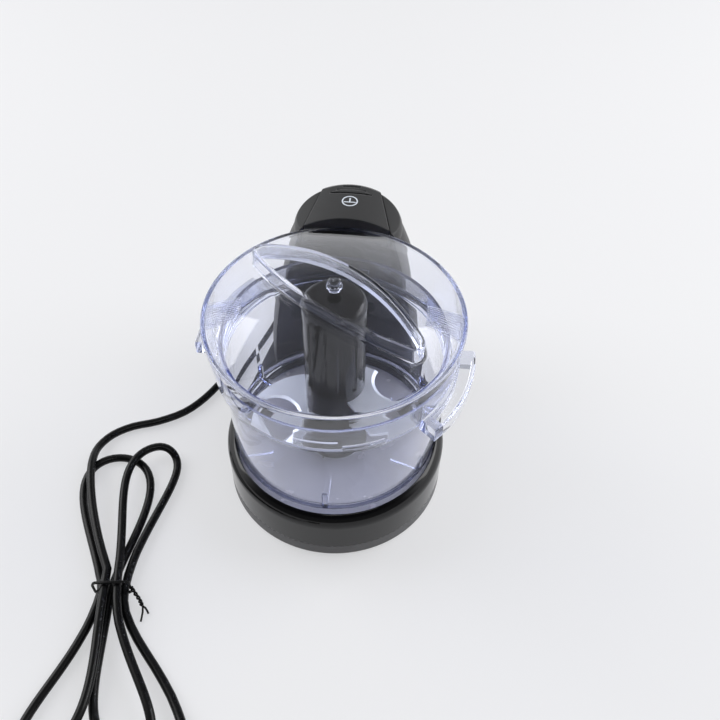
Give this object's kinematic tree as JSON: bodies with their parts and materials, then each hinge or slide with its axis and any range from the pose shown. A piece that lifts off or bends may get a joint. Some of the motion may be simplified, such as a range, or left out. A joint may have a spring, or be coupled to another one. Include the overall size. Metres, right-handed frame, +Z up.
{
  "type": "electric mini chopper",
  "caption": "Small electric food chopper: clear bowl and domed lid with a lens-shaped grip on a dark base, belt-driven two-level blade, motor tower with a paddle button, mains cord.",
  "frame": {"origin": "on the floor under the middle of the chopper, cord left out", "axes": "+Z up, +Y from the bowl towards the motor tower, +X to the right seen from the bowl's side"},
  "size_m": [0.2258, 0.4149, 0.1548],
  "materials": {
    "charcoal_plastic": "satin moulded",
    "grey_plastic": "satin moulded",
    "button_plastic": "satin moulded",
    "black_plastic": "moulded",
    "red_plastic": "moulded",
    "white_nylon": "moulded",
    "black_rubber": "matte",
    "zinc_steel": "plated",
    "bright_steel": "ground",
    "core_steel": "laminated",
    "blade_steel": "mirror polished",
    "ferrite": "sintered",
    "bronze": "sintered",
    "brass": "stamped",
    "copper": "enamelled",
    "carbon": "pressed",
    "green_board": "lacquered",
    "hub_plastic": "smoky gloss",
    "clear_bowl": "clear",
    "clear_lid": "clear",
    "cord_black": "satin"
  },
  "bodies": {
    "base": {"main_housing": "charcoal_plastic", "bottom_cover": "grey_plastic", "rubber_feet": "black_rubber", "cover_screws": "zinc_steel", "motor_can": "zinc_steel", "motor_magnets": "ferrite", "motor_end_cap": "white_nylon", "motor_bushes": "bronze", "brush_holders": "brass", "carbon_brushes": "carbon", "motor_plate": "zinc_steel", "motor_plate_screws": "zinc_steel", "rectifier_board": "green_board", "drive_belt": "black_rubber", "upper_bush": "bronze", "lower_bush": "bronze", "switch_body": "black_plastic", "button_pin": "bright_steel", "button_spring": "bright_steel", "strain_relief": "cord_black", "power_cord": "cord_black", "cord_hank": "cord_black", "cord_tie": "cord_black", "plug_body": "cord_black", "plug_pins": "brass"},
    "rotor": {"armature_core": "core_steel", "armature_winding": "copper", "commutator": "copper", "motor_shaft": "bright_steel", "motor_pulley": "white_nylon"},
    "spindle": {"drive_spindle": "bright_steel", "spindle_pulley": "white_nylon"},
    "button": {"push_button": "button_plastic"},
    "plunger": {"switch_plunger": "red_plastic"},
    "bowl": {"bowl": "clear_bowl"},
    "blade": {"blade_hub": "hub_plastic", "lower_blade": "blade_steel", "upper_blade": "blade_steel"},
    "lid_pin": {"lid_centre_pin": "clear_lid"},
    "lid": {"lid": "clear_lid"}
  },
  "joints": [
    {"name": "rotor_spin", "type": "hinge", "parent": "base", "child": "rotor", "pos_m": [0, 0.0649, 0.05], "axis": [0, 0, 1], "continuous": true},
    {"name": "spindle_spin", "type": "hinge", "parent": "base", "child": "spindle", "pos_m": [0, -0.0301, 0.05], "axis": [0, 0, 1], "continuous": true},
    {"name": "bowl_lift", "type": "slide", "parent": "base", "child": "bowl", "axis": [0, 0, 1], "range_m": [0, 0.06]},
    {"name": "blade_spin", "type": "hinge", "parent": "bowl", "child": "blade", "pos_m": [0, -0.0301, 0.05], "axis": [0, 0, 1], "continuous": true},
    {"name": "lid_lift", "type": "slide", "parent": "bowl", "child": "lid_pin", "axis": [0, 0, 1], "range_m": [0, 0.045]},
    {"name": "lid_turn", "type": "hinge", "parent": "lid_pin", "child": "lid", "pos_m": [0, -0.0301, 0.15], "axis": [0, 0, 1], "range_deg": [-15, 0]},
    {"name": "button_press", "type": "hinge", "parent": "base", "child": "button", "pos_m": [0, 0.0704, 0.126], "axis": [1, 0, 0], "range_deg": [0, 5], "stiffness_Nm_per_rad": 1.2, "springref_deg": -2.86, "deforming": ["button_spring"]},
    {"name": "switch_press", "type": "slide", "parent": "base", "child": "plunger", "axis": [0, 0, -1], "range_m": [0, 0.0014]}
  ],
  "couplings": [
    {"joint": "spindle_spin", "follows": "rotor_spin", "ratio": 0.25},
    {"joint": "blade_spin", "follows": "rotor_spin", "ratio": 0.25},
    {"joint": "switch_press", "follows": "button_press", "m_per_rad": 0.0155}
  ]
}
